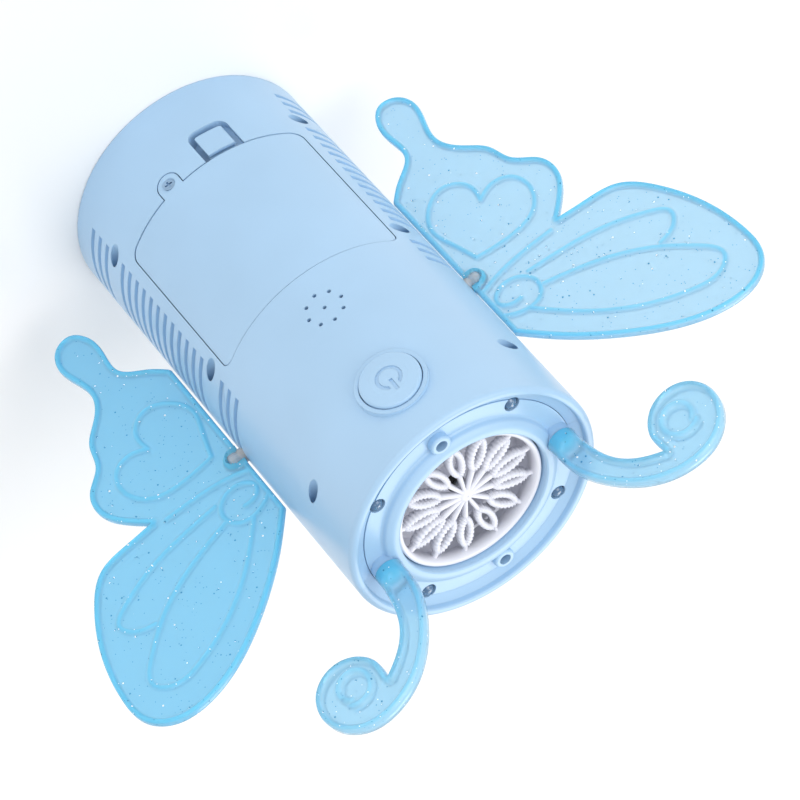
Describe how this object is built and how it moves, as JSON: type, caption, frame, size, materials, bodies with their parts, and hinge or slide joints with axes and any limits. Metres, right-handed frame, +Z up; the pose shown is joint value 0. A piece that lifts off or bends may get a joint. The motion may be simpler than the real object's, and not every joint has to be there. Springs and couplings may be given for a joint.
{
  "type": "bubble machine",
  "caption": "Upright battery bubble blower: a drum with a looped wand wheel in its top, swivelling butterfly wings and curled antennae.",
  "frame": {"origin": "centre of the flat base, on the drum's axis", "axes": "+Z up along the drum's axis, -Y towards the side with the power button and battery cover, +X towards the right wing seen from the back"},
  "size_m": [0.2412, 0.0908, 0.2133],
  "materials": {
    "casing_plastic": "satin moulded",
    "glitter_blue": "translucent with glitter",
    "clear_plastic": "clear",
    "white_plastic": "satin",
    "inner_plastic": "matt",
    "zinc_screw": "zinc plated",
    "motor_steel": "drawn steel",
    "brass_gear": "turned",
    "cell_wrap": "printed film",
    "board_green": "solder mask",
    "chip_black": "matt",
    "seal_rubber": "matt"
  },
  "bodies": {
    "casing": {"service_shell": "casing_plastic", "front_shell": "casing_plastic", "base_plate": "casing_plastic", "case_screws": "zinc_screw", "battery_tray": "inner_plastic", "battery_cells": "cell_wrap", "battery_springs": "zinc_screw", "contact_plates": "zinc_screw", "button_spring": "zinc_screw", "main_board": "board_green", "board_components": "chip_black", "push_switch": "chip_black", "speaker_frame": "motor_steel", "speaker_cone": "chip_black", "top_dish": "casing_plastic", "led_lenses": "clear_plastic", "led_board": "board_green", "bubble_tub": "white_plastic", "shaft_seal": "seal_rubber", "gearbox_plate": "inner_plastic", "idler_pin": "motor_steel", "wand_motor": "motor_steel", "fan_motor": "motor_steel", "fan_housing": "inner_plastic", "air_duct": "inner_plastic", "wing_peg_left": "clear_plastic", "wing_peg_right": "clear_plastic"},
    "wand_wheel": {"wand_wheel": "white_plastic", "wheel_shaft": "motor_steel", "output_gear": "white_plastic"},
    "idler_gear": {"idler_gear": "white_plastic"},
    "motor_pinion": {"motor_pinion": "brass_gear", "wand_motor_shaft": "motor_steel"},
    "fan_rotor": {"fan_impeller": "white_plastic", "fan_motor_shaft": "motor_steel"},
    "power_button": {"power_button": "casing_plastic"},
    "battery_cover": {"battery_cover": "casing_plastic", "cover_screw": "zinc_screw"},
    "wing_left": {"wing_left": "glitter_blue"},
    "wing_right": {"wing_right": "glitter_blue"},
    "antenna_left": {"antenna_left": "glitter_blue"},
    "antenna_right": {"antenna_right": "glitter_blue"}
  },
  "joints": [
    {"name": "wand_wheel_spin", "type": "hinge", "parent": "casing", "child": "wand_wheel", "pos_m": [0, 0, 0.165], "axis": [0, 0, 1], "continuous": true},
    {"name": "idler_spin", "type": "hinge", "parent": "casing", "child": "idler_gear", "pos_m": [-0.015, 0, 0.148], "axis": [0, 0, 1], "continuous": true},
    {"name": "pinion_spin", "type": "hinge", "parent": "casing", "child": "motor_pinion", "pos_m": [-0.0275, 0, 0.1466], "axis": [0, 0, 1], "continuous": true},
    {"name": "fan_spin", "type": "hinge", "parent": "casing", "child": "fan_rotor", "pos_m": [0, 0.014, 0.11], "axis": [0, 0, 1], "continuous": true},
    {"name": "power_press", "type": "slide", "parent": "casing", "child": "power_button", "axis": [0, 1, 0], "range_m": [0, 0.0012], "stiffness_N_per_m": 600, "deforming": ["button_spring"]},
    {"name": "battery_cover_swing", "type": "hinge", "parent": "casing", "child": "battery_cover", "pos_m": [0, -0.044, 0.096], "axis": [-1, 0, 0], "range_deg": [0, 35]},
    {"name": "wing_left_turn", "type": "hinge", "parent": "casing", "child": "wing_left", "pos_m": [-0.0448, 0, 0.1035], "axis": [-1, 0, 0], "range_deg": [-90, 90]},
    {"name": "wing_right_turn", "type": "hinge", "parent": "casing", "child": "wing_right", "pos_m": [0.0448, 0, 0.1035], "axis": [1, 0, 0], "range_deg": [-90, 90]},
    {"name": "antenna_left_turn", "type": "hinge", "parent": "casing", "child": "antenna_left", "pos_m": [-0.033, 0, 0.17], "axis": [0, 0, 1], "range_deg": [-90, 90]},
    {"name": "antenna_right_turn", "type": "hinge", "parent": "casing", "child": "antenna_right", "pos_m": [0.033, 0, 0.17], "axis": [0, 0, 1], "range_deg": [-90, 90]}
  ],
  "couplings": [
    {"joint": "idler_spin", "follows": "wand_wheel_spin", "ratio": -4},
    {"joint": "pinion_spin", "follows": "wand_wheel_spin", "ratio": 16}
  ]
}
